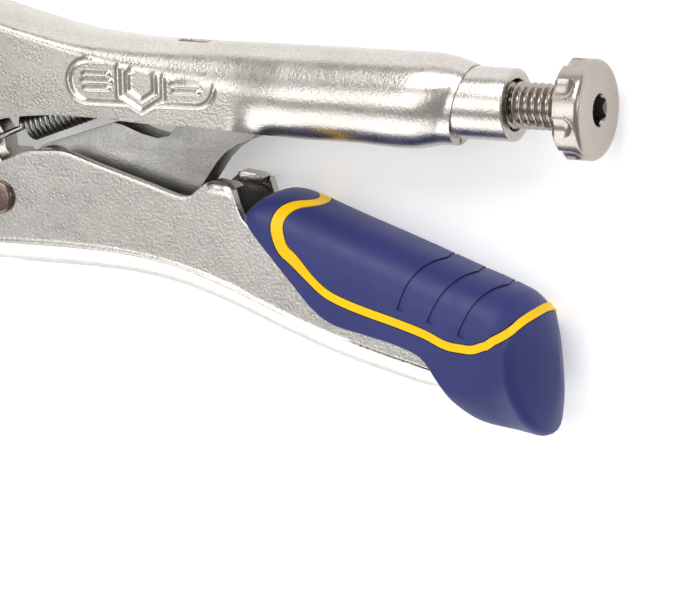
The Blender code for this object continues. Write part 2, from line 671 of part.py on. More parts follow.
def grip(material):
    """Moulded grip on the release lever, open underneath, where it straddles the handle."""
    solid = grip_solid("grip")
    combine(solid, plate("grip_cavity", grip_cavity(), MID - GRIP_INNER, MID + GRIP_INNER), "DIFFERENCE")
    channel = plate("stripe_channel", stripe_ribbon(GAP), -1.0, 2 * MID + 1.0)
    keep = plate("stripe_core", shrunk(grip_outline(), STRIPE_DEPTH + GAP),
                 MID - GRIP_HALF + STRIPE_DEPTH + GAP, MID + GRIP_HALF - STRIPE_DEPTH - GAP)
    combine(channel, keep, "DIFFERENCE")
    combine(solid, channel, "DIFFERENCE")
    for x, y in GROOVES:
        groove = block("groove", (x - GROOVE_WIDTH / 2, y - GROOVE_DEPTH, -1.0),
                       (x + GROOVE_WIDTH / 2, y + 4.0, 2 * MID + 1.0), -18.0)
        combine(solid, groove, "DIFFERENCE")
    hinge_at(solid, LEVER_PIVOT)
    return finished(solid, "grip", material)


def grip_stripe(material):
    """Yellow inlay in a channel of the grip: down each side and over the crown."""
    band = plate("grip_stripe", stripe_ribbon(0.0), -1.0, 2 * MID + 1.0)
    outer = grip_solid("stripe_outer")
    combine(band, outer, "INTERSECT")
    core = plate("stripe_inner", shrunk(grip_outline(), STRIPE_DEPTH),
                 MID - GRIP_HALF + STRIPE_DEPTH, MID + GRIP_HALF - STRIPE_DEPTH)
    combine(band, core, "DIFFERENCE")
    hinge_at(band, LEVER_PIVOT)
    return finished(band, "grip_stripe", material)


def release_lever(material):
    """Steel lever inside the grip: nose under the link, hub on its pin, and a long tail."""
    outline = arc(LEVER_PIVOT, 4.6, 135, 250, 6)
    under = GRIP_CROWN + GAP
    outline += [(96.0, -30.0), (112.0, -34.4), (128.0, -39.0), (131.0, -39.0),
                (130.6, -30.6 - under), (112.9, -24.4 - under), (92.3, -17.7 - under)]
    nose = [(72.0, -26.0), (70.6, -27.4), (71.6, -28.8), (78.0, -30.0)]
    outline = outline[:1] + nose + outline[3:]
    lever = plate("release_lever", outline, MID - LEVER_WIDTH / 2, MID + LEVER_WIDTH / 2)
    drill(lever, LEVER_PIVOT, LEVER_PIN_RADIUS + GAP)
    hinge_at(lever, LEVER_PIVOT)
    return finished(lever, "release_lever", material)


def flush_pin(name, pivot, radius, material):
    """A pin through both cheeks whose ends are flush with them."""
    pin = cylinder(name, pivot, radius, CHEEK_LOW, CHEEK_HIGH)
    return finished(pin, name, material)


clear_scene()
nickel = finish_material("satin_nickel", (0.62, 0.59, 0.55), 0.32, 1.0)
jaw_steel = finish_material("forged_jaw_steel", (0.48, 0.46, 0.43), 0.4, 1.0)
link_steel = finish_material("link_steel", (0.36, 0.35, 0.34), 0.45, 1.0)
rivet_steel = finish_material("rivet_steel", (0.30, 0.24, 0.21), 0.4, 1.0)
spring_steel = finish_material("spring_steel", (0.40, 0.40, 0.40), 0.3, 1.0)
bright_steel = finish_material("bright_nickel", (0.70, 0.68, 0.65), 0.2, 1.0)
blue_plastic = finish_material("blue_moulding", (0.045, 0.06, 0.22), 0.45, 0.0)
yellow_plastic = finish_material("yellow_moulding", (0.87, 0.58, 0.01), 0.45, 0.0)

frame_shell(nickel)
upper_jaw(jaw_steel)
for number, place in enumerate(UPPER_JAW_PINS, 1):
    flush_pin("upper_jaw_pin_%d" % number, place, UPPER_JAW_PIN_RADIUS, rivet_steel)
rivet("jaw_pivot_rivet", JAW_PIVOT, JAW_PIN_RADIUS, JAW_HEAD_RADIUS, HEAD_HEIGHT, rivet_steel)
collar(nickel)
opening_spring(spring_steel)
lower_jaw(jaw_steel)
lower_handle(nickel)
rivet("handle_pivot_rivet", HANDLE_PIVOT, HANDLE_PIN_RADIUS, HANDLE_HEAD_RADIUS, HANDLE_HEAD_HEIGHT, rivet_steel)
flush_pin("link_pin", LINK_PIVOT, LINK_PIN_RADIUS, nickel)
flush_pin("lever_pin", LEVER_PIVOT, LEVER_PIN_RADIUS, rivet_steel)
link(link_steel)
release_lever(link_steel)
grip(blue_plastic)
grip_stripe(yellow_plastic)
adjusting_screw(bright_steel)
screw_knob(bright_steel)
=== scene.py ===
import math

import bmesh
import bpy
from mathutils import Matrix, Vector


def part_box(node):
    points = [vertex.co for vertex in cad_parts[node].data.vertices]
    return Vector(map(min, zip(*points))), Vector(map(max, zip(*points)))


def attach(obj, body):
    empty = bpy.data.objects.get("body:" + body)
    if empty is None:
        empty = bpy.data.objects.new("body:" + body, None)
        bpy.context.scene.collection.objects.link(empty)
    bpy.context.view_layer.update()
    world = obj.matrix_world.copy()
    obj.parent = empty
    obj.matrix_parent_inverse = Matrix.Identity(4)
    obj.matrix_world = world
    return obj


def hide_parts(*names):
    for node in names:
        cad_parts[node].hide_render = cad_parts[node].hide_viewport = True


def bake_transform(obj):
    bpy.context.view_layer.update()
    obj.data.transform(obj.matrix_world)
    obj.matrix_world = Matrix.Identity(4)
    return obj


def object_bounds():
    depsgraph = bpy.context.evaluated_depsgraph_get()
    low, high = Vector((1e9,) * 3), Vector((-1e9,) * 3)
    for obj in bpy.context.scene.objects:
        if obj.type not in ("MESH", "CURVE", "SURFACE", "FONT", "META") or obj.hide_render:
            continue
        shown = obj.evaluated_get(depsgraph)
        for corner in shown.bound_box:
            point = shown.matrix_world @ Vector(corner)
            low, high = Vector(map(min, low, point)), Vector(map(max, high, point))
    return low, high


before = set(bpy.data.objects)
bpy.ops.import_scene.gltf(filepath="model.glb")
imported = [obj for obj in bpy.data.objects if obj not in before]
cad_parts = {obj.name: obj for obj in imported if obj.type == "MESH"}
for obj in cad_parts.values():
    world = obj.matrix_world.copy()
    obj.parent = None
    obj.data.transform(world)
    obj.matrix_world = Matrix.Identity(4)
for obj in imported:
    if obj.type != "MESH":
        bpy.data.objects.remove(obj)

cad_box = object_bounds()


# The camera and the table.  The pliers lie on their side on a pale table, seen from behind the
# adjusting screw and from above, through a long lens.  Soft panels light them from behind, above,
# in front and beside the screw.
mm = 0.001
low, high = cad_box
middle = (low + high) / 2
mid_z = middle.z
towards_camera = Vector((0.45921, 0.20791, 0.86365))
right = Vector((0.88520, -0.02560, -0.46451))
upward = Vector((-0.07446, 0.97781, -0.19580))
camera_place = Vector((0.57438, 0.17677, 0.90689))
lens = bpy.data.cameras.new("long_lens")
lens.lens = 267.75
lens.sensor_width = 36.0
lens.clip_end = 10.0
camera = bpy.data.objects.new("camera", lens)
turn = Matrix((right, upward, towards_camera)).transposed().to_4x4()
camera.matrix_world = Matrix.Translation(camera_place) @ turn
bpy.context.scene.collection.objects.link(camera)
bpy.context.scene.camera = camera
bpy.context.scene.view_settings.view_transform = "Standard"


def plain_material(name):
    """An empty node material with its shader and output."""
    material = bpy.data.materials.new(name)
    material.use_nodes = True
    return material, material.node_tree, material.node_tree.nodes["Principled BSDF"]


bpy.ops.object.select_all(action="DESELECT")
bpy.ops.mesh.primitive_plane_add(size=4.0, location=(middle.x, middle.y, low.z - 0.2 * mm))
table = bpy.context.object
table.name = "table"
table_paint, tree, shader = plain_material("table_paint")
shader.inputs["Base Color"].default_value = (0.90, 0.90, 0.90, 1.0)
shader.inputs["Roughness"].default_value = 0.9
shader.inputs["Specular IOR Level"].default_value = 0.1
shader.inputs["Emission Color"].default_value = (1.0, 1.0, 1.0, 1.0)
shader.inputs["Emission Strength"].default_value = 0.34
table.data.materials.append(table_paint)

sky = bpy.data.worlds.new("studio")
sky.use_nodes = True
sky.node_tree.nodes["Background"].inputs["Color"].default_value = (1.0, 0.99, 0.97, 1.0)
sky.node_tree.nodes["Background"].inputs["Strength"].default_value = 0.44
bpy.context.scene.world = sky


def soft_panel(name, place, size, power):
    """A square light that faces the middle of the pliers."""
    lamp = bpy.data.lights.new(name, "AREA")
    lamp.size = size
    lamp.energy = power
    panel = bpy.data.objects.new(name, lamp)
    aim = Vector(place) - middle
    panel.matrix_world = Matrix.Translation(place) @ aim.to_track_quat("Z", "Y").to_matrix().to_4x4()
    bpy.context.scene.collection.objects.link(panel)


soft_panel("back_panel", (0.05, 0.95, 0.75), 0.8, 11.0)
soft_panel("top_panel", (-0.25, 0.1, 1.2), 0.7, 4.0)
soft_panel("front_panel", (-0.4, -0.9, 0.35), 1.2, 9.0)
soft_panel("screw_panel", (1.1, 0.25, 0.45), 0.4, 1.2)


# Frame.  One blank of 2 mm sheet steel, pressed into a channel with an arched back and rolled
# shut underneath towards the rear, then coined with a plain badge and plated in satin nickel.
sheet_steel = 2.0 * mm
body_half = 9.2 * mm
tube_radius = 9.7 * mm
screw_y = 4.0 * mm


def smooth_line(knots, x):
    """Height at x, in metres, of the smooth line through knots given in millimetres."""
    x = x / mm
    last = len(knots) - 1
    k = 0
    while k < last - 1 and x > knots[k + 1][0]:
        k += 1
    slope = []
    for j in (k, k + 1):
        before, after = knots[max(j - 1, 0)], knots[min(j + 1, last)]
        slope.append((after[1] - before[1]) / (after[0] - before[0]))
    (x0, y0), (x1, y1) = knots[k], knots[k + 1]
    span = x1 - x0
    t = min(max((x - x0) / span, 0.0), 1.0)
    height = (y0 * (1 + 2 * t) * (1 - t) ** 2 + y1 * t * t * (3 - 2 * t)
              + span * (slope[0] * t * (1 - t) ** 2 - slope[1] * t * t * (1 - t)))
    return height * mm


def ease(x, start, stop):
    t = min(max((x - start) / (stop - start), 0.0), 1.0)
    return t * t * (3 - 2 * t)


def spread(*stretches):
    """Places along a line, from (start, stop, step) stretches that follow each other."""
    places = [stretches[0][0]]
    for start, stop, step in stretches:
        count = max(1, round(abs(stop - start) / step))
        places += [start + (stop - start) * k / count for k in range(1, count + 1)]
    return places


def pressed(name, stations, rows, place):
    """A flat blank of faces whose every corner is pressed to place(station, row)."""
    bpy.ops.object.select_all(action="DESELECT")
    bpy.ops.mesh.primitive_grid_add(x_subdivisions=len(stations) - 1, y_subdivisions=len(rows) - 1,
                                    size=1.0, location=(0, 0, 0))
    blank = bpy.context.object
    blank.name = name
    blank.data.name = name
    for corner in blank.data.vertices:
        column = round((corner.co.x + 0.5) * (len(stations) - 1))
        row = round((corner.co.y + 0.5) * (len(rows) - 1))
        corner.co = place(stations[column], rows[row])
    return blank


def apply_modifier(piece, kind, **settings):
    """Puts a modifier on a piece, sets it and applies it."""
    bpy.ops.object.select_all(action="DESELECT")
    bpy.context.view_layer.objects.active = piece
    piece.select_set(True)
    modifier = piece.modifiers.new(kind.lower(), kind)
    for key, value in settings.items():
        setattr(modifier, key, value)
    bpy.ops.object.modifier_apply(modifier=modifier.name)


def break_edges(piece, width, angle, reach):
    """Rounds a piece's sharp edges ahead of x = reach."""
    work = bmesh.new()
    work.from_mesh(piece.data)
    weight = work.edges.layers.float.new("bevel_weight_edge")
    for edge in work.edges:
        ahead = max(corner.co.x for corner in edge.verts) < reach
        if ahead and edge.is_manifold and edge.calc_face_angle() > math.radians(angle):
            edge[weight] = 1.0
    work.to_mesh(piece.data)
    work.free()
    apply_modifier(piece, "BEVEL", width=width, segments=2, limit_method="WEIGHT",
                   use_clamp_overlap=True)


def smooth(piece, angle=35):
    bpy.ops.object.select_all(action="DESELECT")
    bpy.context.view_layer.objects.active = piece
    piece.select_set(True)
    bpy.ops.object.shade_smooth_by_angle(angle=math.radians(angle))


def clean(piece, gap=0.000005):
    """Merges corners that meet and turns every face outwards."""
    bpy.ops.object.select_all(action="DESELECT")
    bpy.context.view_layer.objects.active = piece
    piece.select_set(True)
    bpy.ops.object.mode_set(mode="EDIT")
    bpy.ops.mesh.select_all(action="SELECT")
    bpy.ops.mesh.remove_doubles(threshold=gap)
    bpy.ops.mesh.normals_make_consistent(inside=False)
    bpy.ops.object.mode_set(mode="OBJECT")


def cut(piece, cutter, operation="DIFFERENCE"):
    """Cuts a piece with another object, which is then thrown away."""
    apply_modifier(piece, "BOOLEAN", operation=operation, object=cutter, solver="EXACT")
    bpy.data.objects.remove(cutter, do_unlink=True)


def join(*pieces):
    """Makes several meshes one object, the first."""
    bpy.ops.object.select_all(action="DESELECT")
    for piece in pieces:
        piece.select_set(True)
    bpy.context.view_layer.objects.active = pieces[0]
    bpy.ops.object.join()
    return pieces[0]


frame_top = ((-21, 27), (-10, 26.6), (0, 25), (10, 22), (19.7, 19), (30.2, 16.5), (40.6, 14.6),
             (51, 13.8), (64, 13.5), (81.7, 13.6), (100, 13.7))
frame_bottom = ((-21, 9), (-15, 0.5), (-8, -7), (0, -10), (8, -9.6), (16, -7.2), (24.1, -4.2),
                (34.7, -2.7), (45.2, -2.5), (60.7, -3.1), (78.5, -3.4), (100, -5.7))
frame_arch = ((-21, 3.6), (0, 3.2), (24, 3.0), (38, 3.4), (51, 4.8), (66, 7.2), (80, 9.2), (92, 9.7))
frame_low, frame_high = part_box("frame_shell")
badge_centre = Vector((58.6 * mm, 5.4 * mm))
badge_half = 17.2 * mm
badge_rise = 0.45 * mm


def badge_height(x, y):
    """Coined relief of the badge: a rounded rim, a hexagon and two bars."""
    x -= badge_centre.x
    y -= badge_centre.y + 0.015 * x
    rim_radius = 4.4 * mm
    inner = abs(x) - (badge_half - rim_radius)
    stadium = math.hypot(max(inner, 0.0), y) - rim_radius
    hexagon = max(abs(y) * 0.866 + abs(x) * 0.5, abs(x)) - 5.3 * mm
    rim = abs(min(stadium, hexagon))
    ring = min(abs(hexagon), abs(hexagon + 2.1 * mm))
    bar = 1.0
    for side in (-1, 1):
        for offset in (-1.5, 0.0, 1.5):
            along = max(abs(x - side * 10.6 * mm) - (3.2 - 0.3 * abs(offset)) * mm, 0.0)
            bar = min(bar, math.hypot(along, y - offset * mm))
    line = 0.42 * mm
    height = 0.0
    for distance in (rim, ring, bar):
        height = max(height, 1.0 - ease(distance, line * 0.35, line * 1.7))
    return height * badge_rise


def frame_place(x, s, inset=0.0):
    """A point on the frame: s runs 0 to 4 from the near lip over the back to the far lip."""
    tube = ease(x, 78.5 * mm, 91.5 * mm)
    half = body_half + (tube_radius - body_half) * tube
    top = smooth_line(frame_top, x) if x < 100 * mm else screw_y + tube_radius
    bottom = smooth_line(frame_bottom, x)
    arch = smooth_line(frame_arch, x)
    side = s if s <= 2 else 4 - s
    shoulder = top - arch
    flank = half - inset
    rise = max(arch - inset, 0.35 * mm)
    if side >= 1:
        angle = (side - 1) * math.pi / 2
        z, y = flank * math.cos(angle), top - inset - rise + rise * math.sin(angle)
    else:
        share = 1 - side
        straight = Vector((flank, shoulder + (bottom - shoulder) * share))
        angle = (math.pi / 2 - 0.045) * share
        rolled = Vector((flank * math.cos(angle), shoulder - flank * math.sin(angle)))
        z, y = straight.lerp(rolled, tube)
    around = math.atan2(y - screw_y, z)
    mouth = 128.9 * mm + 1.8 * mm * math.sin(around)
    swage = min(max((x - (mouth - 11 * mm)) / (11 * mm), 0.0), 1.0)
    open_below = max(0.0, -math.sin(around)) ** 1.5
    shrink = (2.05 - 1.3 * open_below) * mm * swage ** 2.2
    shrink -= 0.45 * mm * open_below * ease(x, 104 * mm, 116 * mm) * (1 - ease(x, 120 * mm, 127 * mm))
    if inset > 0.0:
        shrink = 0.28 * mm * swage ** 2.2
    radius = max(math.hypot(z, y - screw_y), 1e-6)
    drawn = shrink * tube / radius
    z -= z * drawn
    y -= (y - screw_y) * drawn
    if inset == 0.0:
        if s <= 1.02 and 38 * mm < x < 80 * mm:
            z += badge_height(x, y)
    run = x if x < 100 * mm else 100 * mm + (x - 100 * mm) * (mouth - 100 * mm) / (frame_high.x - 100 * mm)
    return Vector((run, y, mid_z + (z if s <= 2 else -z)))


frame_stations = spread((frame_low.x, 38 * mm, 1.0 * mm), (38 * mm, 79 * mm, 0.32 * mm),
                        (79 * mm, 112 * mm, 1.0 * mm), (112 * mm, frame_high.x, 0.6 * mm))
frame_rows = spread((0, 1, 0.018), (1, 2, 0.06), (2, 3, 0.06), (3, 4, 0.05))
frame_sheet = pressed("frame_sheet", frame_stations, frame_rows, frame_place)
corner_count = len(frame_sheet.data.vertices)
apply_modifier(frame_sheet, "SOLIDIFY", thickness=sheet_steel, offset=-1.0)
inner_side = [frame_place(x, s, sheet_steel) for s in frame_rows for x in frame_stations]
for k, place in enumerate(inner_side):
    frame_sheet.data.vertices[corner_count + k].co = place
clean(frame_sheet, 0.000001)
bpy.ops.mesh.primitive_cube_add(size=1.0, location=(67.0 * mm, 13 * mm, mid_z))
slot = bpy.context.object
slot.scale = (7.6 * mm, 8 * mm, 4.0 * mm)
bpy.ops.object.transform_apply(location=True, rotation=True, scale=True)
apply_modifier(slot, "BEVEL", width=0.8 * mm, segments=3)
cut(frame_sheet, slot)
break_edges(frame_sheet, 0.18 * mm, 55, 118 * mm)
smooth(frame_sheet, 40)


def noise(tree, scale, detail=3.0, rough=0.55, place=(-700, 0)):
    """A noise in the piece's own metres."""
    nodes, links = tree.nodes, tree.links
    spot = nodes.get("Place") or nodes.new("ShaderNodeTexCoord")
    spot.name = "Place"
    spot.location = (-1100, 0)
    cloud = nodes.new("ShaderNodeTexNoise")
    cloud.location = place
    cloud.inputs["Scale"].default_value = scale
    cloud.inputs["Detail"].default_value = detail
    cloud.inputs["Roughness"].default_value = rough
    links.new(spot.outputs["Object"], cloud.inputs["Vector"])
    return cloud.outputs["Fac"]


def banded(tree, source, stops, place=(-450, 0)):
    """A colour ramp over a value; stops are (position, colour)."""
    ramp = tree.nodes.new("ShaderNodeValToRGB")
    ramp.location = place
    elements = ramp.color_ramp.elements
    while len(elements) < len(stops):
        elements.new(0.5)
    for element, (position, colour) in zip(elements, stops):
        element.position = position
        element.color = (*colour, 1.0) if len(colour) == 3 else colour
    tree.links.new(source, ramp.inputs["Fac"])
    return ramp.outputs["Color"]


def raised(tree, source, strength, depth, under=None, place=(-200, -300)):
    """Bump from a value, over an earlier bump if there is one."""
    bump = tree.nodes.new("ShaderNodeBump")
    bump.location = place
    bump.inputs["Strength"].default_value = strength
    bump.inputs["Distance"].default_value = depth
    tree.links.new(source, bump.inputs["Height"])
    if under is not None:
        tree.links.new(under, bump.inputs["Normal"])
    return bump.outputs["Normal"]


def plated(name, light, dark, roughness, peel, grain):
    """Plated steel: cloudy tint, uneven gloss, and a pebbled skin of the given depth and scale."""
    material, tree, shader = plain_material(name)
    cloudy = noise(tree, 55.0, 2.0, 0.5, (-700, 200))
    tint = banded(tree, cloudy, ((0.3, dark), (0.7, light)), (-450, 200))
    fine = noise(tree, grain, 2.0, 0.5, (-700, -100))
    speckle = banded(tree, fine, ((0.35, (0.84,) * 3), (0.65, (1.0,) * 3)), (-450, 50))
    both = tree.nodes.new("ShaderNodeMix")
    both.data_type = "RGBA"
    both.blend_type = "MULTIPLY"
    both.location = (-220, 150)
    both.inputs[0].default_value = 1.0
    tree.links.new(tint, both.inputs[6])
    tree.links.new(speckle, both.inputs[7])
    tree.links.new(both.outputs[2], shader.inputs["Base Color"])
    low_gloss = (roughness * 0.85,) * 3
    high_gloss = (roughness * 1.2,) * 3
    gloss = banded(tree, noise(tree, 300.0, 4.0, 0.6, (-700, -250)), ((0.3, low_gloss), (0.75, high_gloss)),
                   (-450, -150))
    tree.links.new(gloss, shader.inputs["Roughness"])
    skin = raised(tree, fine, 1.0, peel)
    tree.links.new(skin, shader.inputs["Normal"])
    shader.inputs["Metallic"].default_value = 1.0
    return material


nickel = plated("satin_nickel", (0.58, 0.55, 0.515), (0.51, 0.48, 0.445), 0.27, 0.042 * mm, 1700.0)
frame_sheet.data.materials.append(nickel)
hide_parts("frame_shell")
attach(frame_sheet, "frame")


# Spring tab.  A tongue of the frame's own sheet, bent down out of the slot in its back, which
# the rear hook of the opening spring catches.
tab_x = 61.4 * mm
tab_tip = 3.4 * mm


def tab_place(u, v):
    """u runs along the tongue from the back of the frame down to its tip, v across it."""
    bend = 1.6 * mm
    start = 11.9 * mm
    down = max(0.0, u - bend * math.pi / 2)
    angle = min(u / bend, math.pi / 2)
    x = tab_x + bend * (1 - math.sin(angle)) + 0.2 * mm
    y = start - bend * (1 - math.cos(angle)) - down
    return Vector((x, y, mid_z + v * (1 - 0.25 * ease(u, 6 * mm, 9.5 * mm))))


tab_length = 11.9 * mm - 1.6 * mm - tab_tip + 1.6 * mm * math.pi / 2
spring_tab = pressed("spring_tab", spread((0, tab_length, 0.4 * mm)), spread((-2 * mm, 2 * mm, 0.5 * mm)),
                     tab_place)
apply_modifier(spring_tab, "SOLIDIFY", thickness=1.5 * mm, offset=0.0)
apply_modifier(spring_tab, "BEVEL", width=0.15 * mm, segments=2, limit_method="ANGLE",
               angle_limit=math.radians(50))
smooth(spring_tab)
spring_tab.data.materials.append(nickel)
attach(spring_tab, "frame")


# Threaded collar.  A turned steel sleeve pressed into the tube's rear end; its bore carries the
# adjusting screw's thread, and its end face is left bare of the rolled rim.
collar_low, collar_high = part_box("threaded_collar")
pitch = 1.5875 * mm
thread_radius = 4.76 * mm


def turned(name, profile, steps=128):
    """A piece turned on the screw's axis; profile is (x, radius) in metres, a closed line."""
    mesh = bpy.data.meshes.new(name)
    corners = [(x, screw_y + r, mid_z) for x, r in profile]
    edges = [(k, (k + 1) % len(corners)) for k in range(len(corners))]
    if profile[0][1] == 0.0 and profile[-1][1] == 0.0:
        edges.pop()
    mesh.from_pydata(corners, edges, [])
    piece = bpy.data.objects.new(name, mesh)
    bpy.context.scene.collection.objects.link(piece)
    bpy.ops.object.select_all(action="DESELECT")
    bpy.context.view_layer.objects.active = piece
    piece.select_set(True)
    bpy.ops.object.mode_set(mode="EDIT")
    bpy.ops.mesh.select_all(action="SELECT")
    bpy.ops.mesh.spin(steps=steps, angle=2 * math.pi, center=(0, screw_y, mid_z), axis=(1, 0, 0))
    bpy.ops.mesh.select_all(action="SELECT")
    bpy.ops.mesh.remove_doubles(threshold=0.000002)
    bpy.ops.mesh.normals_make_consistent(inside=False)
    bpy.ops.object.mode_set(mode="OBJECT")
    return piece


def rounded(profile, radius, steps=4):
    """The profile with each of its corners replaced by an arc that starts radius away."""
    smoothed = []
    for k, (x, r) in enumerate(profile):
        here = Vector((x, r))
        before, after = Vector(profile[k - 1]), Vector(profile[(k + 1) % len(profile)])
        if r == 0.0:
            smoothed.append((x, r))
            continue
        back = min(radius, (before - here).length * 0.45)
        on = min(radius, (after - here).length * 0.45)
        first = here + (before - here).normalized() * back
        last = here + (after - here).normalized() * on
        for j in range(steps + 1):
            t = j / steps
            smoothed.append(tuple(first * (1 - t) ** 2 + here * 2 * t * (1 - t) + last * t * t))
    return smoothed


collar_radius = (collar_high.y - collar_low.y) / 2
bore = thread_radius + 0.22 * mm
bore_line = []
x = collar_high.x - 1.2 * mm
while x > collar_high.x - 9 * mm:
    bore_line += [(x, bore + 0.3 * mm), (x - pitch / 2, bore - 0.1 * mm)]
    x -= pitch
sleeve = rounded([(collar_high.x, bore + 0.3 * mm), (collar_high.x, collar_radius),
                  (collar_low.x, collar_radius), (collar_low.x, bore)], 0.5 * mm)
collar = turned("collar_sleeve", sleeve + bore_line[::-1])
smooth(collar, 30)
collar.data.materials.append(nickel)
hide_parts("threaded_collar")
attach(collar, "frame")


# Adjusting screw.  A steel shank with a rolled 3/8 inch thread of 16 turns to the inch; its
# inner end is rounded and bears on the tip of the link.
screw_low, screw_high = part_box("adjusting_screw")
thread_depth = 0.95 * mm
thread_start = collar_high.x - 6 * mm


def thread_place(x, angle):
    """A point on the thread's flank: crest and root are short flats, the flanks are straight."""
    phase = (x / pitch - angle / (2 * math.pi)) % 1.0
    lift = min(max((abs(phase - 0.5) * 2 - 0.16) / 0.68, 0.0), 1.0)
    run_out = ease(x, thread_start, thread_start + pitch)
    end = ease(x, screw_high.x - 0.4 * mm, screw_high.x)
    radius = thread_radius - thread_depth * max(lift * run_out, end)
    return Vector((x, screw_y + radius * math.cos(angle), mid_z + radius * math.sin(angle)))


turns = spread((0, 2 * math.pi, math.pi / 36))
thread = pressed("screw_thread", spread((thread_start, screw_high.x, pitch / 14)), turns, thread_place)
clean(thread)
tip = rounded([(screw_low.x, 0.0), (screw_low.x, thread_radius - 1.0 * mm),
               (screw_low.x + 1.0 * mm, thread_radius), (thread_start + 0.1 * mm, thread_radius),
               (thread_start + 0.1 * mm, 0.0)], 0.3 * mm)
shank = turned("screw_shank", tip, 72)
end_cap = turned("screw_end", [(screw_high.x - 0.6 * mm, 0.0),
                               (screw_high.x - 0.6 * mm, thread_radius - thread_depth),
                               (screw_high.x, thread_radius - thread_depth), (screw_high.x, 0.0)], 72)
adjuster = join(thread, shank, end_cap)
adjuster.name = "adjuster_shank"
smooth(adjuster, 32)
bright = plated("bright_nickel", (0.43, 0.385, 0.35), (0.37, 0.33, 0.30), 0.26, 0.012 * mm, 2600.0)
adjuster.data.materials.append(bright)
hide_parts("adjusting_screw")
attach(adjuster, "screw")


# Knob.  A turned steel knob, swaged on the screw: eight flutes for the fingers are milled in
# from the collar's side, the end face is round-edged and has a hexagon socket for a key.
knob_low, knob_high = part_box("screw_knob")
knob_radius = 10.2 * mm
flutes = 8
flute_depth = 0.8 * mm
flute_half = 0.2
flute_end = knob_high.x - 1.7 * mm
edge_round = 1.3 * mm


def knob_place(station, angle):
    """A point on the knob: flutes come in from the collar's side and stop short of the face."""
    x, inset = station
    step = 2 * math.pi / flutes
    off = (angle - math.radians(102) + step / 2) % step - step / 2
    run = max(0.0, x - (flute_end - 2.0 * mm)) / (2.0 * mm)
    hollow = max(0.0, 1 - (off / flute_half) ** 2 - run * run)
    radius = knob_radius - inset
    if inset < 2 * mm:
        radius -= max(0.0, flute_depth * (1.0 if hollow > 0 else 0.0) * hollow ** 0.7 - inset * 0.3)
    return Vector((x, screw_y + radius * math.cos(angle), mid_z + radius * math.sin(angle)))


knob_sections = [(knob_low.x, knob_radius), (knob_low.x, 6 * mm), (knob_low.x, 2.0 * mm)]
knob_sections += [(knob_low.x + 0.7 * mm * k / 4, 0.7 * mm * (1 - k / 4)) for k in range(5)]
knob_sections += [(x, 0.0) for x in spread((knob_low.x + 1.1 * mm, knob_high.x - edge_round, 0.28 * mm))]
for k in range(1, 9):
    angle = math.pi / 16 * k
    knob_sections.append((knob_high.x - edge_round * (1 - math.sin(angle)),
                          edge_round * (1 - math.cos(angle))))
knob_sections += [(knob_high.x, 3 * mm), (knob_high.x, 6 * mm), (knob_high.x, knob_radius)]
knob = pressed("knob", knob_sections, spread((0, 2 * math.pi, math.pi / 96)), knob_place)
clean(knob)
bpy.ops.mesh.primitive_cylinder_add(vertices=6, radius=3.46 * mm, depth=11.2 * mm,
                                    location=(knob_high.x, screw_y, mid_z), rotation=(0, math.pi / 2, 0))
socket = bpy.context.object
bpy.ops.object.transform_apply(location=True, rotation=True, scale=True)
cut(knob, socket)
bpy.ops.mesh.primitive_cone_add(vertices=96, radius1=3.0 * mm, radius2=3.75 * mm, depth=1.4 * mm,
                                location=(knob_high.x, screw_y, mid_z), rotation=(0, math.pi / 2, 0))
sink = bpy.context.object
bpy.ops.object.transform_apply(location=True, rotation=True, scale=True)
cut(knob, sink)
smooth(knob, 28)
knob.data.materials.append(bright)
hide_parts("screw_knob")
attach(knob, "knob")


# Lower handle.  A blank of 2 mm sheet steel pressed into a channel that is closed underneath,
# with a die line where the rounded back meets the sides, and lips bent in over the link.
handle_top = ((11, -23.5), (12.5, -19.5), (17.5, -15.6), (23.7, -13.3), (29.9, -10.8), (34.8, -10.2),
              (39.7, -10.2), (45.6, -11.9), (59.8, -15.9), (66.2, -17.7), (69.0, -17.6), (71.2, -16.0),
              (73.4, -14.5), (75.5, -14.5), (79.0, -15.4), (80.0, -18.6), (81.4, -21.6), (84.0, -23.6),
              (90, -28), (100, -34), (110, -38.5), (120, -42.5), (126, -47))
handle_bottom = ((11, -35), (29.6, -34.9), (41.8, -34.9), (53.9, -35.4), (65.8, -37.2), (77.6, -40.7),
                 (89.2, -45), (100.7, -48.8), (112.2, -51.8), (126, -54.9))
handle_low, handle_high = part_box("lower_handle")
handle_corner = 4.7 * mm
web_start = 28.0 * mm
toe = 7.0 * mm
lip_start, lip_stop = 73.4 * mm, 79.1 * mm
lip_drop = 1.6 * mm


def handle_place(x, s, inset=0.0):
    """A point on the handle: s runs 0 to 4 from the near edge round the back to the far edge."""
    top, bottom = smooth_line(handle_top, x), smooth_line(handle_bottom, x)
    if x < handle_low.x + toe:
        reach = handle_low.x + toe - x
        bottom += toe - math.sqrt(max(toe * toe - reach * reach, 0.0))
    if lip_start <= x <= lip_stop:
        top -= lip_drop
    side = s if s <= 2 else 4 - s
    half = body_half - inset
    corner = handle_corner - inset
    floor = bottom + inset
    ridge = floor + corner
    if side <= 1:
        z, y = half, top + (ridge - top) * side
        z += 0.3 * mm * ease(side, 0.955, 1.0) if inset == 0.0 else 0.0
    else:
        angle = min((side - 1) / 0.55, 1.0) * math.pi / 2
        z = half - corner * (1 - math.cos(angle))
        y = ridge - corner * math.sin(angle)
        z *= 1 - max(0.0, (side - 1.55) / 0.45)
        if inset == 0.0 and side < 1.08:
            z += 0.3 * mm * (1 - ease(side, 1.0, 1.08))
    close = ease(x, handle_high.x - 7 * mm, handle_high.x)
    y += close * max(0.0, 1.5 * mm - abs(y - bottom)) * 0.6
    return Vector((x, y, mid_z + (z if s <= 2 else -z)))


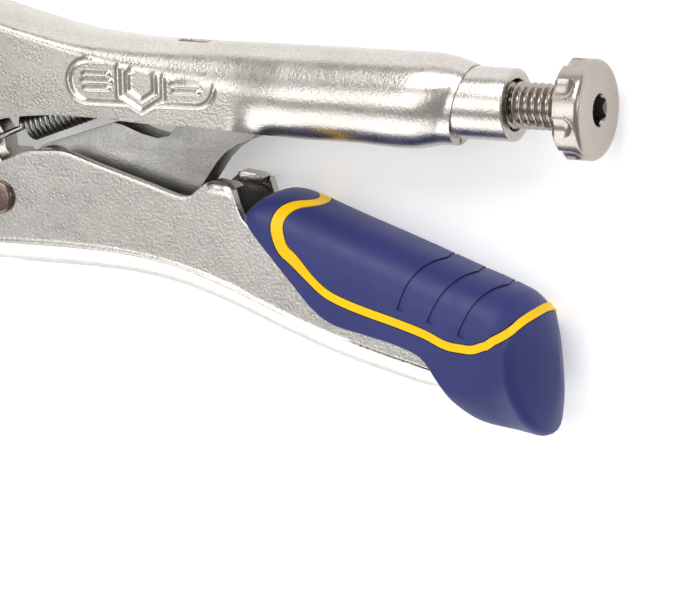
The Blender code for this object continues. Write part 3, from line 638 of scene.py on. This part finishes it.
handle_stations = spread((handle_low.x, 60 * mm, 0.8 * mm), (60 * mm, 73.3 * mm, 0.5 * mm),
                         (73.3 * mm, 73.5 * mm, 0.2 * mm), (73.5 * mm, 79.0 * mm, 0.7 * mm),
                         (79.0 * mm, 79.2 * mm, 0.2 * mm), (79.2 * mm, 84 * mm, 0.4 * mm),
                         (84 * mm, handle_high.x, 0.9 * mm))
handle_rows = spread((0, 0.94, 0.047), (0.94, 1.1, 0.02), (1.1, 1.6, 0.06), (1.6, 2, 0.2), (2, 2.4, 0.2),
                     (2.4, 2.9, 0.06), (2.9, 3.06, 0.02), (3.06, 4, 0.047))
handle = pressed("handle_sheet", handle_stations, handle_rows, handle_place)
corner_count = len(handle.data.vertices)
apply_modifier(handle, "SOLIDIFY", thickness=sheet_steel, offset=-1.0)
inner_side = [handle_place(x, s, sheet_steel) for s in handle_rows for x in handle_stations]
for k, place in enumerate(inner_side):
    handle.data.vertices[corner_count + k].co = place
clean(handle, 0.000001)
web_middle = ((handle_low.x + web_start) / 2 - 2 * mm, -36 * mm, mid_z)
bpy.ops.mesh.primitive_cube_add(size=1.0, location=web_middle)
web = bpy.context.object
web.scale = (web_start - handle_low.x + 4 * mm, 20 * mm, 2 * (body_half - sheet_steel) + 0.02 * mm)
bpy.ops.object.transform_apply(location=True, rotation=True, scale=True)
apply_modifier(web, "BEVEL", width=2.5 * mm, segments=4)
cut(handle, web)
apply_modifier(handle, "BEVEL", width=0.2 * mm, segments=2, limit_method="ANGLE",
               angle_limit=math.radians(55), use_clamp_overlap=True)


def lip(side):
    """The stretch of cheek that is bent in over the channel, on one side."""
    bend = 2.0 * mm

    def place(x, s):
        top = smooth_line(handle_top, x)
        angle = min(max(s, 0.0), 1.0) * math.pi / 2
        z = body_half - bend * (1 - math.cos(angle)) - max(0.0, s - 1) * 3.2 * mm
        y = top - bend * (1 - math.sin(angle)) + min(s, 0.0) * 1.2 * mm
        if s < 0:
            z -= 0.012 * mm
        return Vector((x, y, mid_z + side * z))
    bent = pressed("lip", spread((lip_start, lip_stop, 0.5 * mm)),
                   spread((-1, 0, 0.5), (0, 1, 0.125), (1, 2, 0.34)), place)
    apply_modifier(bent, "SOLIDIFY", thickness=sheet_steel, offset=-side)
    clean(bent, 0.000001)
    apply_modifier(bent, "BEVEL", width=0.3 * mm, segments=3, limit_method="ANGLE",
                   angle_limit=math.radians(55))
    return bent


handle = join(handle, lip(1), lip(-1))
smooth(handle, 40)
handle_nickel = plated("pebbled_nickel", (0.58, 0.56, 0.53), (0.52, 0.495, 0.465), 0.29, 0.052 * mm, 1600.0)
handle.data.materials.append(handle_nickel)
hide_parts("lower_handle")
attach(handle, "lower_handle")


# Link.  A toggle stamped from 6.5 mm plate and tumbled: an eye with raised bosses that fill the
# handle, a knee, and a rounded tip that the adjusting screw bears on.
def kept_shape(node, name, bevel, segments=3, angle=30):
    """A copy of a stamped or forged node with its facets merged and its edges broken."""
    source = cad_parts[node]
    piece = bpy.data.objects.new(name, source.data.copy())
    piece.data.materials.clear()
    piece.data.name = name
    bpy.context.scene.collection.objects.link(piece)
    clean(piece, 0.00001)
    bpy.ops.object.mode_set(mode="EDIT")
    bpy.ops.mesh.select_all(action="SELECT")
    bpy.ops.mesh.dissolve_limited(angle_limit=math.radians(0.5))
    bpy.ops.object.mode_set(mode="OBJECT")
    apply_modifier(piece, "BEVEL", width=bevel, segments=segments, limit_method="ANGLE",
                   angle_limit=math.radians(angle), use_clamp_overlap=True)
    smooth(piece, 30)
    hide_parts(node)
    return piece


link = kept_shape("link", "toggle_link", 0.5 * mm)
tumbled = plated("tumbled_steel", (0.42, 0.41, 0.39), (0.35, 0.34, 0.32), 0.40, 0.05 * mm, 2200.0)
link.data.materials.append(tumbled)
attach(link, "link")

lever = kept_shape("release_lever", "lever_core", 0.5 * mm)
lever.data.materials.append(tumbled)
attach(lever, "release_lever")


# Jaws.  Drop-forged steel, milled teeth on the curved faces, plated with the frame; the upper
# one is pinned between the frame's cheeks, the lower one turns on the large rivet.
forged = plated("forged_nickel", (0.60, 0.57, 0.53), (0.50, 0.47, 0.43), 0.36, 0.10 * mm, 900.0)
for node, name, body in (("upper_jaw", "fixed_jaw", "frame"), ("lower_jaw", "moving_jaw", "lower_jaw")):
    jaw = kept_shape(node, name, 0.35 * mm, 2)
    jaw.data.materials.append(forged)
    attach(jaw, body)


# Rivets and pins.  Turned steel: the two pivots' heads are coined over the cheeks, and the pins
# of the jaw, link and lever are driven in flush and slightly domed.
coined = plated("coined_steel", (0.20, 0.15, 0.125), (0.12, 0.09, 0.075), 0.26, 0.03 * mm, 1200.0)


def round_bar(name, place, radius, bottom, top, edge):
    """A turned bar through the pliers, with rounded ends."""
    bpy.ops.object.select_all(action="DESELECT")
    bpy.ops.mesh.primitive_cylinder_add(vertices=96, radius=radius, depth=top - bottom,
                                        location=(place[0] * mm, place[1] * mm, (top + bottom) / 2))
    bar = bpy.context.object
    bar.name = name
    bpy.ops.object.transform_apply(location=True, rotation=True, scale=True)
    apply_modifier(bar, "BEVEL", width=edge, segments=5, limit_method="ANGLE",
                   angle_limit=math.radians(60))
    return bar


def pinned(bar, node, body, material, slot_name):
    smooth(bar, 35)
    bar.data.materials.append(material)
    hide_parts(node)
    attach(bar, body)


cheek_low, cheek_high = mid_z - body_half, mid_z + body_half
for node, place, shank, head, height, body in (
        ("jaw_pivot_rivet", (0, 0), 4.0, 7.0, 2.8, "frame"),
        ("handle_pivot_rivet", (23.4, -20.7), 2.3, 3.6, 1.4, "lower_handle")):
    bar = round_bar(node + "_bar", place, shank * mm, cheek_low - 0.5 * mm, cheek_high + 0.5 * mm, 0.2 * mm)
    upper = round_bar("upper_head", place, head * mm, cheek_high - 0.3 * mm, cheek_high + height * mm,
                      height * 0.62 * mm)
    lower = round_bar("lower_head", place, head * mm, cheek_low - height * mm, cheek_low + 0.3 * mm,
                      height * 0.62 * mm)
    pinned(join(bar, upper, lower), node, body, coined, "rivet_steel")
for node, place, radius, proud, body, material, slot_name in (
        ("upper_jaw_pin_1", (-14, 15.4), 2.0, 0.2, "frame", coined, "rivet_steel"),
        ("upper_jaw_pin_2", (3, 14), 2.0, 0.2, "frame", coined, "rivet_steel"),
        ("link_pin", (34.1, -15.6), 2.5, -0.6, "lower_handle", nickel, "satin_nickel"),
        ("lever_pin", (88.5, -25.5), 1.8, 0.2, "lower_handle", coined, "rivet_steel")):
    bar = round_bar(node + "_bar", place, radius * mm, cheek_low - proud * mm, cheek_high + proud * mm,
                    0.35 * mm)
    pinned(bar, node, body, material, slot_name)


# Opening spring.  Close-wound from 1.25 mm spring wire, with a long hook through the lower jaw's
# ear and a short one round the frame's tab; it pulls the jaws open.
wire_radius = 0.62 * mm
coil_radius = 2.88 * mm
coil_front = Vector((25.8 * mm, -6.9 * mm, mid_z))
coil_rear = Vector((54.5 * mm, 3.6 * mm, mid_z))
ear_hole = Vector((19.0 * mm, -9.6 * mm, mid_z))
coil_way = (coil_rear - coil_front).normalized()
across = Vector((-coil_way.y, coil_way.x, 0.0))
outwards = Vector((0, 0, 1))
coils = round((coil_rear - coil_front).length / (2 * wire_radius * 1.03))
per_turn = 22
route = [ear_hole - outwards * 3.4 * mm, ear_hole - outwards * 1.0 * mm, ear_hole + outwards * 2.4 * mm,
         ear_hole + outwards * 3.5 * mm + coil_way * 0.7 * mm,
         ear_hole + outwards * 3.6 * mm + coil_way * 2.2 * mm,
         coil_front - coil_way * 1.2 * mm + outwards * 3.2 * mm]
for k in range(coils * per_turn + 1):
    angle = 2 * math.pi * k / per_turn
    along = coil_way * ((coil_rear - coil_front).length * k / (coils * per_turn))
    route.append(coil_front + along + (outwards * math.cos(angle) + across * math.sin(angle)) * coil_radius)
hook_y = tab_tip + 2.0 * mm
beside = mid_z + 2.95 * mm
route += [Vector((57.0 * mm, 4.6 * mm, beside)), Vector((60.0 * mm, hook_y, beside)),
          Vector((63.2 * mm, hook_y, beside)), Vector((63.9 * mm, hook_y, beside - 0.7 * mm)),
          Vector((63.9 * mm, hook_y, mid_z)), Vector((63.9 * mm, hook_y, mid_z - 2.6 * mm))]
line = bpy.data.curves.new("spring_line", "CURVE")
line.dimensions = "3D"
line.bevel_depth = wire_radius
line.bevel_resolution = 3
line.use_fill_caps = True
strand = line.splines.new("POLY")
strand.points.add(len(route) - 1)
for point, place in zip(strand.points, route):
    point.co = (*place, 1.0)
spring = bpy.data.objects.new("coil_spring", line)
bpy.context.scene.collection.objects.link(spring)
bpy.ops.object.select_all(action="DESELECT")
bpy.context.view_layer.objects.active = spring
spring.select_set(True)
bpy.ops.object.convert(target="MESH")
spring = bpy.context.object
clean(spring)
smooth(spring, 50)
wire = plated("spring_wire", (0.48, 0.48, 0.47), (0.36, 0.36, 0.36), 0.26, 0.01 * mm, 2500.0)
spring.data.materials.append(wire)
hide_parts("opening_spring")
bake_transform(spring)


# Grip.  A blue moulding over the release lever that straddles the handle: a broad crown for the
# fingers, thin skirts down each side, a hooked tail with a flat oval end, and three grooves.
grip_half = 12.0 * mm
crown_depth = 9.5 * mm
crown_power = 2.3
grip_ribs = ((83.0, -20.3, 83.0, -20.8), (83.5, -18.2, 83.6, -22.4), (85.6, -16.9, 86.0, -25.0),
             (89.0, -16.8, 90.0, -29.4), (92.8, -17.7, 94.6, -34.5), (98.0, -19.5, 98.6, -38.7),
             (104.0, -21.5, 103.2, -41.5), (112.9, -24.4, 111.0, -43.2), (120.0, -26.8, 117.6, -44.7),
             (126.4, -29.0, 122.8, -46.8), (130.5, -30.4, 126.2, -51.0), (134.0, -31.5, 129.6, -55.9),
             (137.8, -32.7, 134.2, -60.1), (141.6, -34.1, 139.8, -62.3), (144.4, -36.3, 145.0, -63.3))
last_rib = len(grip_ribs) - 1


def rib(u):
    """The grip's crown point and lower edge point at station u, on smooth lines."""
    k = min(max(int(u), 0), last_rib - 1)
    t = min(max(u - k, 0.0), 1.0)
    around = [grip_ribs[min(max(k + j, 0), last_rib)] for j in (-1, 0, 1, 2)]
    values = []
    for a, b, c, d in zip(*around):
        values.append(mm * (b + 0.5 * t * (c - a + t * (2 * a - 5 * b + 4 * c - d
                                                        + t * (3 * (b - c) + d - a)))))
    return Vector(values[:2]), Vector(values[2:])


def grip_place(u, s):
    """A point on the grip: u runs along it, then over the end face's rim and in to its middle;
    s runs -1 to 5 from the near lower edge over the crown to the far one, 5 to 6 underneath."""
    crown, edge = rib(min(u, last_rib))
    length = (edge - crown).length
    way = (edge - crown).normalized()
    back = Vector((-way.y, way.x))
    rim = min(max(u - last_rib, 0.0), 1.0)
    fold = rim * math.pi / 2
    tail = ease(u, 10.0, last_rib)
    half = grip_half * (0.84 + 0.16 * math.sin(math.pi / 2 * min(max(u, 0.0) / 2.5, 1.0)))
    half -= 2.2 * mm * (1 - math.cos(fold))
    trim = 1.3 * mm * (1 - math.cos(fold))
    crown = crown + way * trim
    length -= 2 * trim
    depth = min(crown_depth, length * 0.6)
    keel = min(0.4 * mm + tail * 16.0 * mm, (length - depth) * 0.9)
    keel_side = min(0.4 * mm + tail * 13 * mm, half)
    side = s if s <= 2 else 4 - s
    if s > 5:
        side = -1
    if side >= 1:
        angle = (side - 1) * math.pi / 2
        power = 2 / (crown_power - 0.3 * tail)
        z = half * max(math.cos(angle), 0.0) ** power
        down = depth * (1 - math.sin(angle) ** power)
    elif side >= 0:
        z, down = half, depth + (length - keel - depth) * (1 - side)
    else:
        angle = -side * math.pi / 2
        z, down = half - keel_side * (1 - math.cos(angle)), length - keel + keel * math.sin(angle)
    bow = 3.4 * mm * ease(u, 11.0, last_rib) * (z / grip_half) ** 2
    if s > 5:
        z = -z * (1 - 2 * (s - 5))
    elif s > 2:
        z = -z
    point = crown + way * down - back * bow
    point += back * (1.0 * mm + 1.2 * mm * down / length) * math.sin(fold)
    inwards = min(max(u - last_rib - 1, 0.0), 1.0)
    if inwards > 0:
        centre = crown + way * length * 0.45 + back * (1.0 * mm + 1.2 * mm * 0.45)
        point = point.lerp(centre, inwards) + back * 2.2 * mm * (1 - (1 - inwards) ** 2)
        z *= 1 - inwards
    return Vector((point.x, point.y, mid_z + z))


def grip_or_end(u, s):
    """The grip's skin, drawn together to a point ahead of its first station."""
    if u >= 0:
        return grip_place(u, s)
    return Vector((*(rib(0.0)[0] + rib(0.0)[1]) / 2, mid_z))


def band(name, spots, widths, above, below, across=5, closed=False):
    """A strip laid on the grip's skin through spots, standing above it and sunk below it."""
    centres, normals = [], []
    for u, s in spots:
        here = grip_place(u, s)
        along_u = grip_place(u + 0.02, s) - grip_place(u - 0.02, s)
        along_s = grip_place(u, s + 0.01) - grip_place(u, s - 0.01)
        centres.append(here)
        normals.append(along_u.cross(along_s).normalized())
    total = len(spots)

    def nearest(k):
        return k % total if closed else min(max(k, 0), total - 1)

    def place(k, v):
        here, before, after = nearest(k), centres[nearest(k - 1)], centres[nearest(k + 1)]
        sideways = normals[here].cross(after - before).normalized()
        return centres[here] + sideways * widths[here] * v - normals[here] * below
    columns = list(range(total + 1 if closed else total))
    rows = spread((-1, 1, 2 / across))
    strip = pressed(name, columns, rows, place)
    count = len(strip.data.vertices)
    apply_modifier(strip, "SOLIDIFY", thickness=above + below, offset=-1.0)
    for j, row in enumerate(rows):
        for k in columns:
            strip.data.vertices[count + j * len(columns) + k].co = (
                place(k, row) + normals[nearest(k)] * (above + below))
    if closed:
        work = bmesh.new()
        work.from_mesh(strip.data)
        caps = [face for face in work.faces
                if all(corner.index % len(columns) in (0, total) for corner in face.verts)]
        bmesh.ops.delete(work, geom=caps, context="FACES")
        work.to_mesh(strip.data)
        work.free()
    clean(strip, 0.0000005)
    return strip


def smooth_way(knots, pieces):
    """Points on the smooth curve through knots, which may have any number of values."""
    way = []
    count = len(knots)
    for k in range(count - 1):
        around = [knots[min(max(k + j, 0), count - 1)] for j in (-1, 0, 1, 2)]
        for j in range(pieces):
            t = j / pieces
            way.append(tuple(b + 0.5 * t * (c - a + t * (2 * a - 5 * b + 4 * c - d
                                                         + t * (3 * (b - c) + d - a)))
                             for a, b, c, d in zip(*around)))
    return way + [tuple(knots[-1])]


grip_stations = [-1] + spread((0, 2, 0.125), (2, 12, 0.14), (12, last_rib, 0.125),
                              (last_rib, last_rib + 1, 0.125), (last_rib + 1, last_rib + 2, 0.1))
grip_rows = spread((-1, 0, 0.1), (0, 1, 0.125), (1, 3, 0.04), (3, 4, 0.125), (4, 5, 0.1), (5, 6, 0.25))
grip = pressed("moulded_grip", grip_stations, grip_rows, grip_or_end)
clean(grip, 0.0000005)


def prism(name, outline, half):
    """A straight-sided block with the given side outline, in millimetres."""
    mesh = bpy.data.meshes.new(name)
    mesh.from_pydata([(x * mm, y * mm, mid_z - half) for x, y in outline], [], [range(len(outline))])
    block = bpy.data.objects.new(name, mesh)
    bpy.context.scene.collection.objects.link(block)
    bpy.ops.object.select_all(action="DESELECT")
    bpy.context.view_layer.objects.active = block
    block.select_set(True)
    bpy.ops.object.mode_set(mode="EDIT")
    bpy.ops.mesh.select_all(action="SELECT")
    bpy.ops.mesh.extrude_region_move(TRANSFORM_OT_translate={"value": (0, 0, 2 * half)})
    bpy.ops.mesh.select_all(action="SELECT")
    bpy.ops.mesh.normals_make_consistent(inside=False)
    bpy.ops.object.mode_set(mode="OBJECT")
    return block


cut(grip, prism("wide_hollow", ((78, -22.2), (84, -22.3), (92.3, -23.3), (112.9, -30.2), (128.8, -35.4),
                                (128.8, -72), (78, -72)), 9.8 * mm))
cut(grip, prism("lever_hollow", ((77, -20.6), (86, -20.3), (92.3, -21.2), (112.9, -27.9), (131.4, -34.1),
                                 (131.4, -41), (112.9, -34), (92.3, -27), (77, -25)), 6.0 * mm))
for low_u, low_s, lean in ((7.98, 0.86, 0.62), (9.17, 0.9, 0.95), (10.96, 0.92, 1.05)):
    spots = []
    for k in range(-16, 17):
        share = 1 - abs(k) / 16
        row = low_s + (2 - low_s) * share
        spots.append((low_u + lean * share ** 1.4, row if k <= 0 else 4 - row))
    wide = [0.42 * mm + 0.3 * mm * ease(abs(k) / 16, 0.75, 1.0) for k in range(-16, 17)]
    cut(grip, band("groove", spots, wide, 1.0 * mm, 0.36 * mm, 2))


# Stripe.  A yellow second shot in a shallow channel of the grip: down the near side, over the
# crown at both ends, and the same on the far side.
near_way = [(4.46, 2.0), (4.42, 1.93), (4.24, 1.83), (3.97, 1.74), (3.66, 1.62), (3.42, 1.46),
            (3.30, 1.28), (3.35, 1.13), (3.57, 0.98), (4.10, 0.84), (4.75, 0.685), (5.45, 0.565),
            (6.1, 0.52), (6.98, 0.50), (8.49, 0.55), (9.8, 0.65), (10.9, 0.735), (11.6, 0.765),
            (12.0, 0.81), (12.45, 0.91), (13.05, 1.08), (13.65, 1.29), (14.2, 1.54), (14.6, 1.79),
            (14.7, 2.0)]
round_way = near_way + [(u, 4 - s) for u, s in near_way[-2::-1]]
round_way = [round_way[-2]] + round_way + [round_way[1]]
fine_way = smooth_way(round_way, 16)[16:-16]
stripe_spots = [fine_way[0]]
for spot in fine_way[:-1]:
    if (grip_place(*spot) - grip_place(*stripe_spots[-1])).length > 0.9 * mm:
        stripe_spots.append(spot)
if (grip_place(*stripe_spots[-1]) - grip_place(*stripe_spots[0])).length < 0.6 * mm:
    stripe_spots.pop()
stripe_widths = [(0.85 + 0.4 * (1 - ease(grip_place(*spot).x, 93 * mm, 99 * mm))) * mm
                 for spot in stripe_spots]
cut(grip, band("channel", stripe_spots, [w + 0.22 * mm for w in stripe_widths],
               0.8 * mm, 0.35 * mm, 3, True))
smooth(grip, 38)
blue, tree, shader = plain_material("blue_moulding")
cloudy = noise(tree, 40.0, 2.0, 0.5, (-700, 200))
tint = banded(tree, cloudy, ((0.3, (0.022, 0.027, 0.125)), (0.7, (0.028, 0.034, 0.150))), (-450, 200))
tree.links.new(tint, shader.inputs["Base Color"])
sheen = banded(tree, noise(tree, 180.0, 4.0, 0.6, (-700, -150)), ((0.3, (0.40,) * 3), (0.75, (0.52,) * 3)))
tree.links.new(sheen, shader.inputs["Roughness"])
shader.inputs["Specular IOR Level"].default_value = 0.28
tree.links.new(raised(tree, noise(tree, 3200.0, 2.0, 0.5, (-700, -350)), 0.5, 0.02 * mm),
               shader.inputs["Normal"])
grip.data.materials.append(blue)
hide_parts("grip")
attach(grip, "release_lever")

stripe = band("yellow_stripe", stripe_spots, stripe_widths, 0.02 * mm, 0.6 * mm, 4, True)
smooth(stripe, 38)
yellow, tree, shader = plain_material("yellow_moulding")
cloudy = noise(tree, 60.0, 2.0, 0.5, (-700, 200))
tint = banded(tree, cloudy, ((0.3, (0.80, 0.48, 0.001)), (0.7, (0.86, 0.54, 0.003))), (-450, 200))
tree.links.new(tint, shader.inputs["Base Color"])
sheen = banded(tree, noise(tree, 200.0, 4.0, 0.6, (-700, -150)), ((0.3, (0.38,) * 3), (0.75, (0.50,) * 3)))
tree.links.new(sheen, shader.inputs["Roughness"])
shader.inputs["Specular IOR Level"].default_value = 0.2
tree.links.new(raised(tree, noise(tree, 3200.0, 2.0, 0.5, (-700, -350)), 0.5, 0.02 * mm),
               shader.inputs["Normal"])
stripe.data.materials.append(yellow)
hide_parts("grip_stripe")
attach(stripe, "release_lever")
